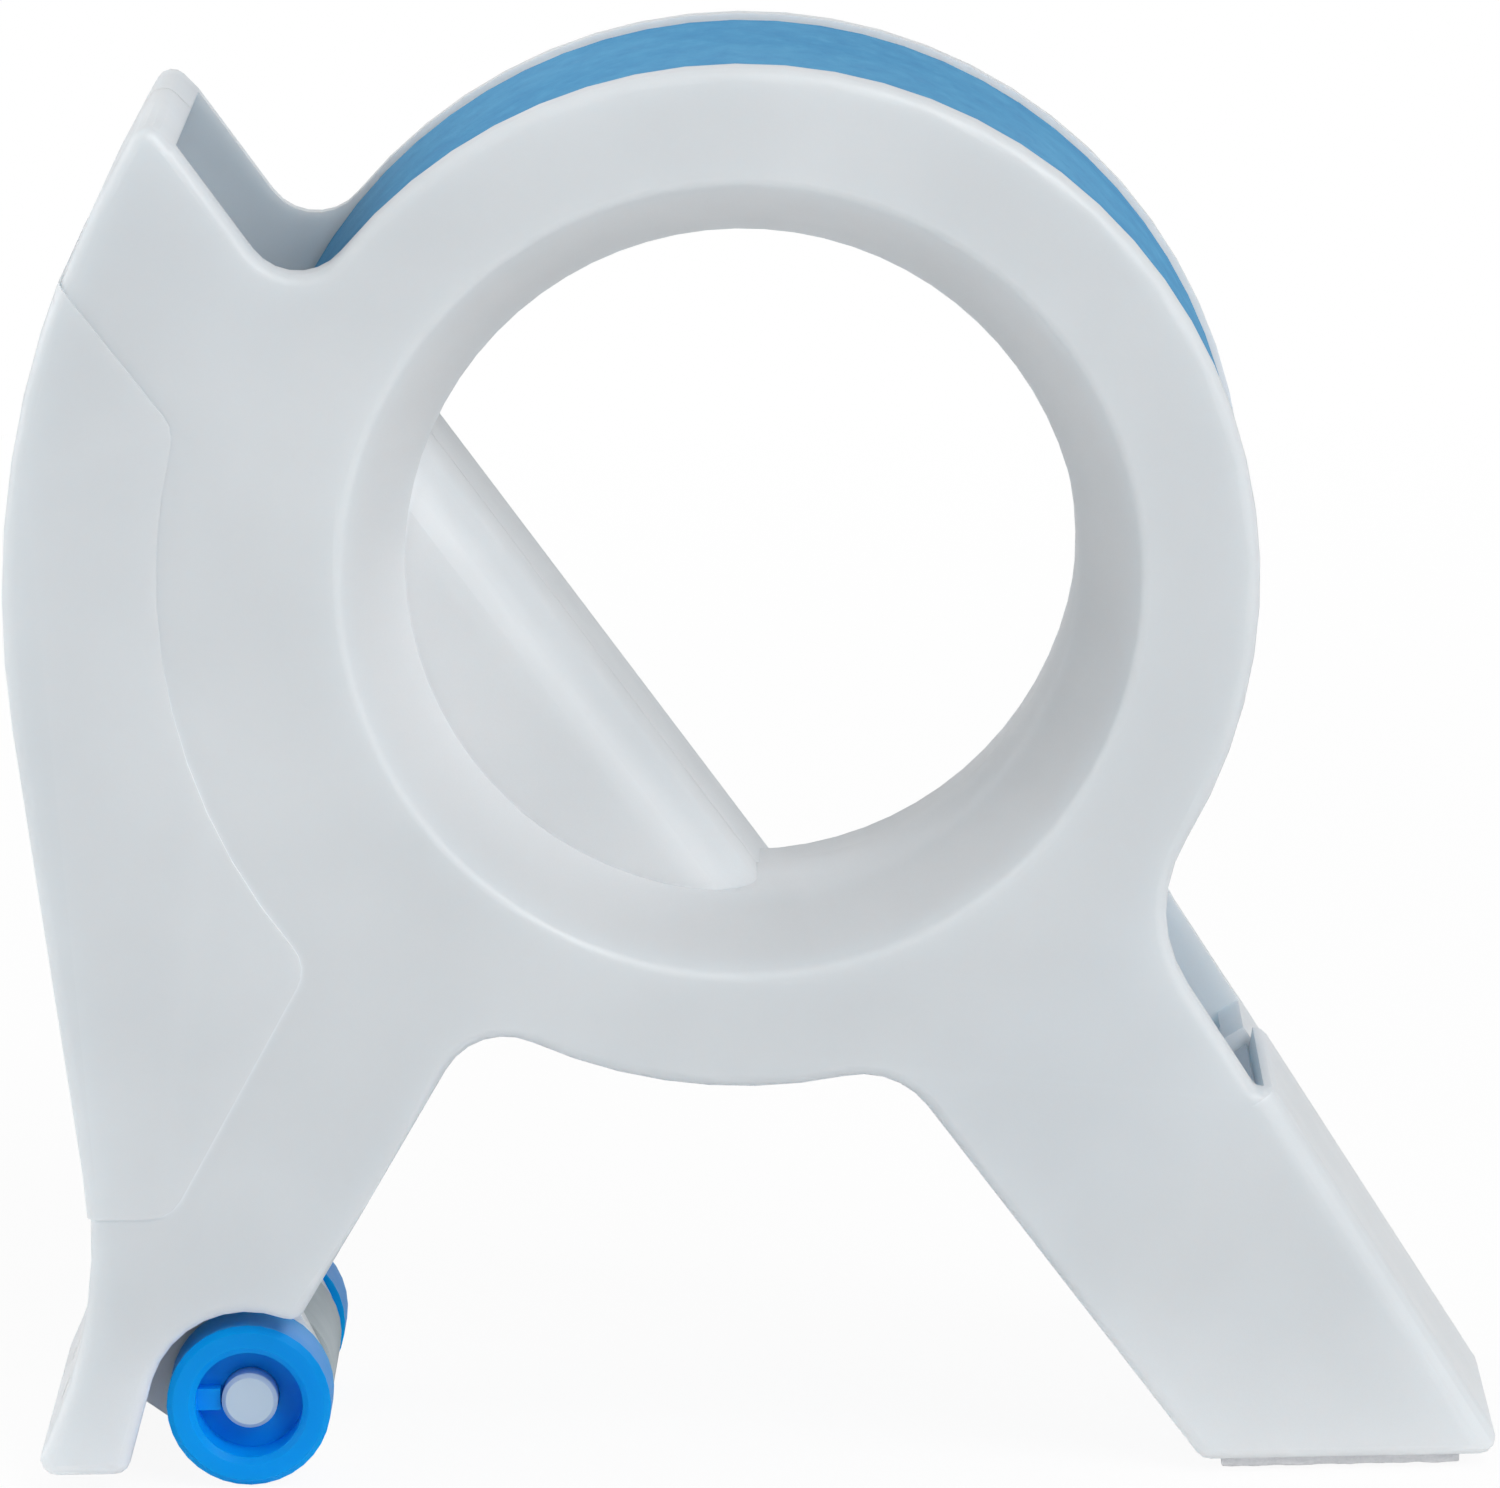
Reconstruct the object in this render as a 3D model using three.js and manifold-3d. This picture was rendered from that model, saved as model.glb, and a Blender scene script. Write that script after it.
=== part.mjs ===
import * as THREE from "three";
import { mergeVertices } from "three/addons/utils/BufferGeometryUtils.js";
import Module from "manifold-3d";

// Masking tape applicator, in millimetres. X runs forward along the surface being taped, Y across
// the tape and away from the near side, Z up. The body is drawn about the axis of the roll and is
// set down on its roller and felt pads at the end.

// Tape roll
const tapeWidth = 36;
const coreBoreRadius = 38.1;
const coreWall = 2.5;
const wrapGap = 0.1;
const tapeBuild = 7.7; // tape wound on the core
const rimReveal = 0.6; // the rim stands this far outside the roll

// Body, measured from the axis of the roll
const hubHeight = 87.6; // axis above the surface
const gripReach = 70; // back of the grip behind the axis
const leadReach = 71.7; // front corner of the leading leg ahead of the axis
const sideWall = 3; // thickness of each side of the body
const edgeWall = 2.4; // thickness of the walls between the sides
const sideClearance = 0.5; // between the roll and each side
const rollClearance = 0.9; // between the roll and the walls round it
const partingShare = 0.65; // of the body's depth, where the edge walls of the shells meet
const seamGap = 0.2;
const edgeRadius = 1.2; // rounding where the sides meet the edge walls
const chordError = 0.06; // largest distance from a facet to its true arc

// Outline corners, as shares of the reach on that side and of the height of the axis
const tipShares = [-0.786, 0.518];
const tipWidth = 4.1;
const tipAngle = 105.1; // turn from the tip's end into the back of the grip
const gripElbowShares = [-1.036, 0.194];
const heelBendShares = [-0.89, -0.789];
const footBackShare = -1.001;
const footLength = 9.2;
const leadToeShare = 0.59;
const stepShares = [0.692, -0.574];
const stepDepth = 1.7;
const rearSetback = 1.6; // of the far half's leading edge, which has no step
const archStartAngle = 161;
const archEndAngle = 59.5;
const slotShare = 0.36; // of the laying leg's inner edge, open for the tape
const layingLegAngle = 237.9; // where the edges of the legs and notch meet the ring
const leadLegInnerAngle = 286.1;
const leadLegOuterAngle = 318.7;
const notchAngle = 147.2;
const footLift = 1.7; // foot above the surface

// Roundings, as the share of the corner's shorter straight edge that they take up
const gripBendShare = 0.9;
const heelBendShare = 0.7;
const legRootShare = 0.275;
const leadRootShare = 0.106;
const stepRootShare = 0.35;
const shoulderShare = 0.438;
const notchShare = 0.374;
const leadEdgeRadius = 2.6; // along the near edge of the leading leg
const cornerMargin = 0.4; // radius of the small corners, beyond the edge rounding

// Raised grip panel that wraps the handle
const gripPanelRise = 0.3;
const gripPanelShare = 0.3; // of the way from the ring to the back, where its front edge runs
const gripTopAngle = 163.5;
const gripLowAngle = 220.7;
const gripTopShares = [-1.08, 0.526];
const gripFootShares = [-0.797, -0.69];
const gripPanelCorner = 3.5;

// Hub
const hubFaceInset = 0.7; // flare at the side face, inside the core's bore
const hubNeckInset = 5.9; // end of the near flare
const hubThroatInset = 6.05; // smallest, at the hub seam
const hubRearInset = 5.7; // bore of the far half, at the hub seam
const hubRearNeckInset = 5.6; // end of the far flare
const hubWall = 1.8;
const hubFlareShare = 0.244; // of the body's depth
const hubSeamShare = 0.558; // of the body's depth
const coreClearance = 0.4;
const hubFinWidth = 1.4;
const hubFinCount = 12;

// Half-moon web that closes the back of the hole
const webChordOffset = 18;
const webAngle = 35.3; // direction from the chord to the axis
const webRecessShare = 0.256; // near panel below the near face, of the body's depth
const webRearRecess = 2.5;
const webEdgeRadius = 6;
const webRearEdgeRadius = 2.5;
const webWall = 2;

// Locating pins between the shells
const bossRadius = 3.6;
const pinRadius = 1.9;
const pinClearance = 0.3;
const pinReach = 8;
const gripPinShares = [-0.81, 0.31];
const legPinShares = [-0.83, -0.43];
const leadPinShares = [0.66, -0.82];
const ribWall = 1.6;
const ribDrop = 2.4; // its outer end below the step

// Laying roller
const rollerSetback = 21; // axis ahead of the foot's back corner
const collarRadius = 7.9;
const collarInset = 1.9; // below the side faces
const collarLength = 7.4;
const collarBoreRadius = 5.2;
const collarBoreDepth = 4.6;
const collarRounding = 0.6;
const axleRadius = 2.7;
const axleInset = 2; // axle end below the collar's face
const axleRounding = 0.4;
const pressGap = 0.05;
const keyWidth = 2.1;
const keyInset = 3;
const sleeveDrop = 0.2; // sleeve under the collars' radius
const sleeveWall = 1.7;
const archClearance = 1.7;

// Roller bracket
const armThickness = 2.4;
const armGap = 0.3;
const armEndRadius = 7.3;
const bushWall = 1.2;
const bushFlange = 0.7;
const bushFlangeRadius = 4.9;
const runningGap = 0.08;
const armTopWidth = 8.8;
const armTopMargin = 3.5; // above the upper screw
const armWallGap = 0.6;
const armHeelDrop = 0.8; // lower corner below the roller axis
const armHeelGap = 1;
const bridgeThickness = 2.4;
const bridgeLength = 8;
const bridgeLift = 0.7; // above the arch over the roller
const bridgeBack = 1.4; // behind the roller axis
const screwRadius = 1.3;
const screwHeadRadius = 2.5;
const screwHeadHeight = 1.6;
const screwSlotWidth = 0.7;
const screwGap = 0.2;
const screwAngle = 135; // lower screw, seen from the roller axis
const screwClearance = 1.5; // between its head and the collar
const screwSpacing = 11.3;
const screwMargin = 2.9; // upper screw from the arm's back edge

// Cutter in the foot
const bladeThickness = 0.5;
const bladeInset = 1; // shorter than the tape's width at each end
const bladeHeight = 12;
const bladeLift = 0.4; // tooth tips above the foot's lower edge
const toothPitch = 2;
const toothDepth = 1.4;
const clampThickness = 1.6;
const clampHeight = 6;
const clampLift = 4.5;
const clampEndGap = 0.5;
const rivetRadius = 1.1;
const rivetHeadRadius = 2;
const rivetHeadHeight = 0.7;
const rivetSpacingShare = 0.58; // of the clamp's width
const rivetGap = 0.15;
const seatGap = 0.1;

// Felt pads under the leading leg
const padThickness = 1.1;
const padInset = 1.8;
const padHeelInset = 4.6;

// Roll drag
const springThickness = 0.5;
const springWidth = 4;
const springSideGap = 0.4; // between the leaf and the hub seam
const springSpan = 22;
const springEndFlat = 3;
const dragPadThickness = 1.4;
const dragPadWidth = 8;
const dragWindowWidth = 15;
const springSeatHeight = 0.6;
const springPocketWall = 1.2;
const springPocketHeight = 2.4;

const turnSegments = 72;
const smallSegments = 36;
const curveSteps = 12;
const overrun = 1; // how far a cutting body passes the faces it cuts
const weldDistance = 0.0001;

// Derived sizes
const halfCavity = tapeWidth / 2 + sideClearance;
const halfDepth = halfCavity + sideWall;
const nearFace = -halfDepth;
const farFace = halfDepth;
const partingY = nearFace + 2 * halfDepth * partingShare;
const hubSeamY = nearFace + 2 * halfDepth * hubSeamShare;
const coreRadius = coreBoreRadius + coreWall;
const rollRadius = coreRadius + tapeBuild;
const ringRadius = rollRadius + rimReveal;
const hubFaceRadius = coreBoreRadius - hubFaceInset;
const hubNeckRadius = coreBoreRadius - hubNeckInset;
const hubThroatRadius = coreBoreRadius - hubThroatInset;
const hubRearRadius = coreBoreRadius - hubRearInset;
const hubRearNeckRadius = coreBoreRadius - hubRearNeckInset;
const hubFlareDepth = 2 * halfDepth * hubFlareShare;
const webRecess = 2 * halfDepth * webRecessShare;
const coreSeatRadius = coreBoreRadius - coreClearance;
const rollerZ = -(hubHeight - collarRadius);
const rollerX = gripReach * footBackShare + rollerSetback;
const gripPanelRadius = ringRadius + (gripReach - ringRadius) * gripPanelShare;
const cornerRadius = edgeRadius + cornerMargin;
const archRadius = collarRadius + archClearance;
const sleeveRadius = collarRadius - sleeveDrop;
const collarEnd = halfDepth - collarInset;
const collarRoot = collarEnd - collarLength;
const armOuter = collarRoot - bushFlange - armGap;
const armInner = armOuter - armThickness;
const bushBore = axleRadius + runningGap;
const bushRadius = bushBore + bushWall;
const sleeveEnd = armInner - armGap;
const footZ = -(hubHeight - footLift);
const leadSoleZ = -(hubHeight - padThickness);

const wasm = await Module();
wasm.setup();

// Solids

function solid(geometry) {
  const bare = geometry.clone();
  bare.deleteAttribute("normal");
  bare.deleteAttribute("uv");
  const merged = mergeVertices(bare, weldDistance);
  return new wasm.Manifold(
    new wasm.Mesh({
      numProp: 3,
      vertProperties: new Float32Array(merged.attributes.position.array),
      triVerts: new Uint32Array(merged.index.array),
    }),
  );
}

function join(...solids) {
  return solids.reduce((all, next) => all.add(next));
}

function cut(body, ...tools) {
  return tools.reduce((left, tool) => left.subtract(tool), body);
}

function geometryOf(body) {
  const { vertProperties, triVerts } = body.getMesh();
  const geometry = new THREE.BufferGeometry();
  geometry.setAttribute("position", new THREE.BufferAttribute(vertProperties, 3));
  geometry.setIndex(new THREE.BufferAttribute(triVerts, 1));
  geometry.computeVertexNormals();
  return geometry;
}

// A flat outline in X and Z, given depth along Y, with rounded edges if asked.
function slab(points, yLow, yHigh, rounding = 0) {
  const geometry = new THREE.ExtrudeGeometry(new THREE.Shape(points), {
    depth: yHigh - yLow - 2 * rounding,
    bevelEnabled: rounding > 0,
    bevelThickness: rounding,
    bevelSize: rounding,
    bevelOffset: -rounding,
    bevelSegments: 3,
  });
  geometry.rotateX(Math.PI / 2);
  geometry.translate(0, yHigh - rounding, 0);
  return solid(geometry);
}

// A closed profile of [radius, y] points, turned about an axis along Y.
function turned(profile, segments, x = 0, z = 0) {
  const points = profile.map(([radius, y]) => new THREE.Vector2(radius, y));
  if (profile[0][0] > 0) points.push(points[0].clone());
  const geometry = new THREE.LatheGeometry(points, segments);
  geometry.translate(x, 0, z);
  return solid(geometry);
}

function disc(radius, yLow, yHigh, segments, x = 0, z = 0) {
  return turned([[0, yLow], [radius, yLow], [radius, yHigh], [0, yHigh]], segments, x, z);
}

function ringBody(bore, radius, yLow, yHigh, segments, x = 0, z = 0) {
  const profile = [[bore, yLow], [radius, yLow], [radius, yHigh], [bore, yHigh]];
  return turned(profile, segments, x, z);
}

// Everything between two depths, for cutting a body at a plane.
function between(yLow, yHigh) {
  const reach = 4 * hubHeight;
  const geometry = new THREE.BoxGeometry(reach, yHigh - yLow, reach);
  geometry.translate(0, (yLow + yHigh) / 2, 0);
  return solid(geometry);
}

// Outlines

const radians = THREE.MathUtils.degToRad;

function polar(radius, angle, x = 0, z = 0) {
  return new THREE.Vector2(
    x + radius * Math.cos(radians(angle)),
    z + radius * Math.sin(radians(angle)),
  );
}

function placed([xShare, zShare], reach) {
  return new THREE.Vector2(reach * xShare, hubHeight * zShare);
}

function arcSteps(radius, sweep) {
  const step = 2 * Math.acos(1 - Math.min(chordError / radius, 1));
  return Math.max(2, Math.ceil(Math.abs(sweep) / step));
}

const leftOf = (v) => new THREE.Vector2(-v.y, v.x);

// The straight or round edge from one corner to the next, moved left by an offset.
function edgeAt(corner, next, offset) {
  if (corner.round) {
    const { centre, radius, outward } = corner.round;
    return { centre, radius: outward ? radius - offset : radius + offset };
  }
  const way = next.at.clone().sub(corner.at).normalize();
  return { point: corner.at.clone().addScaledVector(leftOf(way), offset), way };
}

// The point of a straight edge at a given height.
function atHeight({ point, way }, height) {
  return point.clone().addScaledVector(way, (height - point.y) / way.y);
}

function tangentAt(corner, next, point) {
  if (!corner.round) return next.at.clone().sub(corner.at).normalize();
  const out = point.clone().sub(corner.round.centre).normalize();
  return corner.round.outward ? leftOf(out) : leftOf(out).negate();
}

function crossing(a, b, near) {
  if (a.centre && !b.centre) return crossing(b, a, near);
  if (!b.centre) {
    const gap = b.point.clone().sub(a.point);
    const along = gap.cross(b.way) / a.way.cross(b.way);
    return a.point.clone().addScaledVector(a.way, along);
  }
  const toLine = a.point.clone().sub(b.centre);
  const half = toLine.dot(a.way);
  const reach = Math.sqrt(half * half - toLine.lengthSq() + b.radius * b.radius);
  const both = [-half - reach, -half + reach].map((along) =>
    a.point.clone().addScaledVector(a.way, along),
  );
  return both[0].distanceTo(near) < both[1].distanceTo(near) ? both[0] : both[1];
}

function touchPoint(edge, centre) {
  if (edge.centre) {
    const out = centre.clone().sub(edge.centre).normalize();
    return edge.centre.clone().addScaledVector(out, edge.radius);
  }
  const along = centre.clone().sub(edge.point).dot(edge.way);
  return edge.point.clone().addScaledVector(edge.way, along);
}

function sweepBetween(centre, from, to, leftTurn) {
  const start = from.clone().sub(centre).angle();
  let sweep = to.clone().sub(centre).angle() - start;
  if (leftTurn && sweep < 0) sweep += 2 * Math.PI;
  if (!leftTurn && sweep > 0) sweep -= 2 * Math.PI;
  return { start, sweep };
}

function arcPoints({ centre, radius, start, sweep, leftTurn, withEnds, name, bend }) {
  const steps = arcSteps(radius, sweep);
  const points = [];
  for (let i = withEnds ? 0 : 1; i <= (withEnds ? steps : steps - 1); i += 1) {
    const angle = start + (sweep * i) / steps;
    const out = new THREE.Vector2(Math.cos(angle), Math.sin(angle));
    const at = centre.clone().addScaledVector(out, radius);
    points.push({ at, normal: leftTurn ? out : out.negate(), name, bend });
  }
  return points;
}

// The radius that takes up the corner's share of its shorter straight edge, or of its only
// straight edge where it meets the ring.
function roundingOf(before, corner, after) {
  if (!corner.share) return corner.rounding;
  const inward = corner.at.clone().sub(before.at);
  const onward = after.at.clone().sub(corner.at);
  const arc = before.round ?? corner.round;
  if (!arc) {
    const shorter = Math.min(inward.length(), onward.length());
    return (corner.share * shorter) / Math.tan(inward.angleTo(onward) / 2);
  }
  const travel = before.round ? onward : inward;
  const taken = before.round ? corner.share : -corner.share;
  const fromCentre = corner.at.clone().addScaledVector(travel, taken).sub(arc.centre);
  const outside = leftOf(travel).negate().normalize();
  const spare = fromCentre.lengthSq() - arc.radius * arc.radius;
  return spare / (2 * (arc.radius - fromCentre.dot(outside)));
}

// Walks round the corners with the body on the left and rounds each by its own radius. Each point
// keeps the outward normal, so that the same outline can be drawn further in or out.
function roundedPath(corners) {
  const count = corners.length;
  const bends = corners.map((corner, i) => {
    const before = corners[(i + count - 1) % count];
    const after = corners[(i + 1) % count];
    const wayIn = tangentAt(before, corner, corner.at);
    const wayOut = tangentAt(corner, after, corner.at);
    const leftTurn = wayIn.cross(wayOut) > 0;
    const radius = roundingOf(before, corner, after);
    if (!radius) return { start: corner.at, end: corner.at, wayIn, wayOut };
    const side = leftTurn ? radius : -radius;
    const centre = crossing(
      edgeAt(before, corner, side),
      edgeAt(corner, after, side),
      corner.at,
    );
    const start = touchPoint(edgeAt(before, corner, 0), centre);
    const end = touchPoint(edgeAt(corner, after, 0), centre);
    return { start, end, centre, radius, leftTurn, before, corner, after };
  });
  const points = [];
  corners.forEach((corner, i) => {
    const bend = bends[i];
    if (bend.centre) {
      const { centre, radius, leftTurn } = bend;
      const { name } = corner;
      const turn = sweepBetween(centre, bend.start, bend.end, leftTurn);
      points.push(...arcPoints({ centre, radius, ...turn, leftTurn, withEnds: true, name, bend }));
    } else {
      const normal = leftOf(bend.wayIn).add(leftOf(bend.wayOut)).negate();
      normal.multiplyScalar(2 / normal.lengthSq());
      points.push({ at: corner.at, normal, name: corner.name });
    }
    if (corner.round) {
      const { centre, radius, outward: leftTurn } = corner.round;
      const turn = sweepBetween(centre, bend.end, bends[(i + 1) % count].start, leftTurn);
      points.push(...arcPoints({ centre, radius, ...turn, leftTurn }));
    }
  });
  return points;
}

// The same outline drawn further in. A rounding that is smaller than the inset ends in a corner.
function offsetPoints(path, inset) {
  const points = [];
  let sharpened = null;
  for (const { at, normal, bend } of path) {
    const sharp = bend && bend.leftTurn && bend.radius < inset;
    if (!sharp) {
      points.push(at.clone().addScaledVector(normal, -inset));
    } else if (bend !== sharpened) {
      const { before, corner, after } = bend;
      const first = edgeAt(before, corner, inset);
      points.push(crossing(first, edgeAt(corner, after, inset), corner.at));
      sharpened = bend;
    }
  }
  return points;
}

function stretch(path, from, to) {
  const first = path.findIndex((point) => point.name === from);
  const turnedPath = [...path.slice(first), ...path.slice(0, first)];
  const last = turnedPath.findLastIndex((point) => point.name === to);
  return turnedPath.slice(0, last + 1);
}

// A wall of even thickness that follows part of the outline, with its outer face raised if asked.
function wallAlong(path, from, to, yLow, yHigh, rise = 0) {
  const part = stretch(path, from, to);
  const points = [...offsetPoints(part, -rise), ...offsetPoints(part, edgeWall).reverse()];
  return slab(points, yLow, yHigh);
}

const axis = new THREE.Vector2(0, 0);
const rollerAxis = new THREE.Vector2(rollerX, rollerZ);
const onRing = { centre: axis, radius: ringRadius, outward: true };
const onArch = { centre: rollerAxis, radius: archRadius, outward: false };
const archStart = polar(archRadius, archStartAngle, rollerX, rollerZ);
const archEnd = polar(archRadius, archEndAngle, rollerX, rollerZ);
const legRoot = polar(ringRadius, layingLegAngle);
const tip = placed(tipShares, gripReach);
const gripElbow = placed(gripElbowShares, gripReach);
const tipWay = gripElbow.clone().sub(tip).rotateAround(axis, -radians(tipAngle));
const tipInner = tip.clone().sub(tipWay.setLength(tipWidth));
const heelBend = placed(heelBendShares, gripReach);
const footBack = new THREE.Vector2(gripReach * footBackShare, footZ);
const footFront = new THREE.Vector2(footBack.x + footLength, footZ);
const leadToe = new THREE.Vector2(leadReach * leadToeShare, leadSoleZ);
const leadHeel = new THREE.Vector2(leadReach, leadSoleZ);
const step = placed(stepShares, leadReach);
const stepRoot = new THREE.Vector2(step.x - stepDepth, step.y);
const rearHeel = new THREE.Vector2(leadReach - rearSetback, leadSoleZ);
const shoulder = polar(ringRadius, leadLegOuterAngle);

// One half's corners. The far half's leading edge runs straight from the heel to the shoulder.
const bodyCorners = (heel, steps) => [
  { name: "tip", at: tip, rounding: cornerRadius },
  { name: "gripElbow", at: gripElbow, share: gripBendShare },
  { name: "heelBend", at: heelBend, share: heelBendShare },
  { name: "footBack", at: footBack, rounding: cornerRadius },
  { name: "footFront", at: footFront, rounding: cornerRadius },
  { name: "archStart", at: archStart, rounding: 0, round: onArch },
  { name: "archEnd", at: archEnd, rounding: cornerRadius },
  { name: "slotTop", at: archEnd.clone().lerp(legRoot, slotShare), rounding: 0 },
  { name: "legRoot", at: legRoot, share: legRootShare, round: onRing },
  { name: "leadRoot", at: polar(ringRadius, leadLegInnerAngle), share: leadRootShare },
  { name: "leadToe", at: leadToe, rounding: cornerRadius },
  { name: "leadHeel", at: heel, rounding: cornerRadius },
  ...steps,
  { name: "shoulder", at: shoulder, share: shoulderShare, round: onRing },
  { name: "notch", at: polar(ringRadius, notchAngle), share: notchShare },
  { name: "tipInner", at: tipInner, rounding: cornerRadius },
];

const frontPath = roundedPath(
  bodyCorners(leadHeel, [
    { name: "step", at: step, rounding: cornerRadius },
    { name: "stepRoot", at: stepRoot, share: stepRootShare },
  ]),
);
const rearEdge = edgeAt({ at: rearHeel }, { at: shoulder }, 0);
const rearPath = roundedPath(
  bodyCorners(rearHeel, [{ name: "step", at: atHeight(rearEdge, step.y), rounding: 0 }]),
);

const gripPath = roundedPath([
  { name: "top", at: placed(gripTopShares, gripReach), rounding: 0 },
  {
    name: "low",
    at: new THREE.Vector2(gripReach * gripTopShares[0], hubHeight * gripFootShares[1]),
    rounding: 0,
  },
  { name: "foot", at: placed(gripFootShares, gripReach), rounding: gripPanelCorner },
  {
    name: "lowFront",
    at: polar(gripPanelRadius, gripLowAngle),
    rounding: gripPanelCorner,
    round: { centre: axis, radius: gripPanelRadius, outward: false },
  },
  {
    name: "topFront",
    at: polar(gripPanelRadius, gripTopAngle),
    rounding: gripPanelCorner,
  },
]);

// Body shells

// One side of the body with its rounded edge and raised grip panel, before the edge walls.
function sidePlate(path, outward) {
  const face = outward * halfDepth;
  const plate = slab(offsetPoints(path, 0), -halfDepth, halfDepth, edgeRadius);
  const grown = slab(
    offsetPoints(path, -gripPanelRise),
    -halfDepth - gripPanelRise,
    halfDepth + gripPanelRise,
    edgeRadius,
  );
  const panel = slab(offsetPoints(gripPath, 0), -2 * halfDepth, 2 * halfDepth);
  const inner = outward * halfCavity;
  const outer = face + outward * (gripPanelRise + overrun);
  const range = between(Math.min(inner, outer), Math.max(inner, outer));
  return join(plate, grown.intersect(panel)).intersect(range);
}

// The walls between the sides, along the grip, the foot and the edges of the two legs. They stop
// where the roll fills the ring.
function edgeWalls(path, yLow, yHigh) {
  const grip = wallAlong(path, "tipInner", "footBack", yLow, yHigh);
  const raised = wallAlong(path, "tipInner", "footBack", yLow, yHigh, gripPanelRise);
  const panel = slab(offsetPoints(gripPath, 0), yLow, yHigh).intersect(raised);
  const under = wallAlong(path, "slotTop", "step", yLow, yHigh);
  const rollSpace = disc(rollRadius + rollClearance, -halfCavity, halfCavity, turnSegments);
  return cut(join(grip, panel, under), rollSpace);
}

function hubProfile(outward, neckRadius, endRadius, seamY) {
  const face = outward * halfDepth;
  const plateInner = outward * halfCavity;
  const lip = hubFaceRadius + edgeRadius;
  const neckY = face - outward * hubFlareDepth;
  const flare = Math.atan2(hubFaceRadius - neckRadius, hubFlareDepth - edgeRadius);
  const sweep = Math.PI / 2 - flare;
  const steps = arcSteps(edgeRadius, sweep);
  const arc = [];
  for (let i = 0; i <= steps; i += 1) {
    const angle = (sweep * i) / steps;
    arc.push([
      lip - edgeRadius * Math.sin(angle),
      face - outward * edgeRadius * (1 - Math.cos(angle)),
    ]);
  }
  const wall = hubWall / Math.cos(flare);
  const root = Math.min(hubFaceRadius + wall - edgeRadius * Math.tan(flare), coreSeatRadius);
  const loop = [
    [lip + edgeWall, face],
    ...arc,
    [neckRadius, neckY],
    [endRadius, seamY],
    [endRadius + hubWall, seamY],
    [neckRadius + hubWall, neckY],
    [root, plateInner - outward * sideClearance],
    [lip + edgeWall, plateInner],
  ];
  return outward > 0 ? loop : loop.reverse();
}

// The hub's open inside, to the middle of its wall and on past the side face.
function hubSpace(outward, neckRadius, endRadius, seamY) {
  const face = outward * halfDepth;
  const half = hubWall / 2;
  const profile = [
    [0, seamY - outward * overrun],
    [endRadius + half, seamY - outward * overrun],
    [neckRadius + half, face - outward * hubFlareDepth],
    [hubFaceRadius + half, face],
    [0, face],
  ];
  return turned(outward > 0 ? profile : profile.reverse(), turnSegments);
}

// Fins on the hub that carry the core.
function hubFins(yLow, yHigh) {
  const fins = [];
  const inner = hubRearRadius;
  for (let i = 0; i < hubFinCount; i += 1) {
    const fin = new THREE.BoxGeometry(coreSeatRadius - inner, yHigh - yLow, hubFinWidth);
    fin.translate((coreSeatRadius + inner) / 2, (yLow + yHigh) / 2, 0);
    fin.rotateY((2 * Math.PI * (i + 1 / 2)) / hubFinCount);
    fins.push(solid(fin));
  }
  return fins;
}

const webOut = polar(1, webAngle);
const webBasis = new THREE.Matrix4().makeBasis(
  new THREE.Vector3(webOut.x, 0, webOut.y),
  new THREE.Vector3(0, 1, 0),
  new THREE.Vector3(-webOut.y, 0, webOut.x),
);

// A profile across the chord of the half-moon, run along the chord.
function alongChord(points, length) {
  const geometry = new THREE.ExtrudeGeometry(new THREE.Shape(points), {
    depth: length,
    bevelEnabled: false,
  });
  geometry.translate(0, 0, -length / 2);
  geometry.applyMatrix4(webBasis);
  return solid(geometry);
}

function webProfile(inset) {
  const chord = -webChordOffset - inset;
  const back = -hubFaceRadius - hubWall;
  const near = nearFace + webRecess + inset;
  const far = farFace - webRearRecess - inset;
  const nearRadius = webEdgeRadius - inset;
  const farRadius = webRearEdgeRadius - inset;
  const corners = [
    { name: "", at: new THREE.Vector2(back, near), rounding: 0 },
    { name: "", at: new THREE.Vector2(chord, near), rounding: nearRadius },
    { name: "", at: new THREE.Vector2(chord, far), rounding: farRadius },
    { name: "", at: new THREE.Vector2(back, far), rounding: 0 },
  ];
  return offsetPoints(roundedPath(corners), 0);
}

// The hollow half-moon, trimmed to the middle of the hub's wall.
function halfMoon() {
  const length = 2 * hubFaceRadius;
  const shell = cut(
    alongChord(webProfile(0), length),
    alongChord(webProfile(webWall), length + overrun),
  );
  const bore = hubThroatRadius + hubWall / 2;
  const flareY = halfDepth - hubFlareDepth;
  const trim = turned(
    [
      [0, nearFace],
      [hubNeckRadius + hubWall / 2, nearFace],
      [bore, hubSeamY],
      [hubRearNeckRadius + hubWall / 2, flareY],
      [hubFaceRadius + hubWall / 2, farFace],
      [0, farFace],
    ],
    turnSegments,
  );
  return shell.intersect(trim);
}

// The opening in the hub's wall that the drag pad reaches through.
function dragWindow() {
  const depth = hubSeamY - nearFace - webRecess - webWall;
  const inner = hubNeckRadius - 2 * hubWall;
  const outer = coreSeatRadius + overrun;
  const geometry = new THREE.BoxGeometry(outer - inner, depth + overrun, dragWindowWidth);
  geometry.translate(-(outer + inner) / 2, hubSeamY + (overrun - depth) / 2, 0);
  geometry.applyMatrix4(webBasis);
  return solid(geometry);
}

function pinPlaces() {
  return [
    placed(gripPinShares, gripReach),
    placed(legPinShares, gripReach),
    placed(leadPinShares, leadReach),
  ];
}

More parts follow.
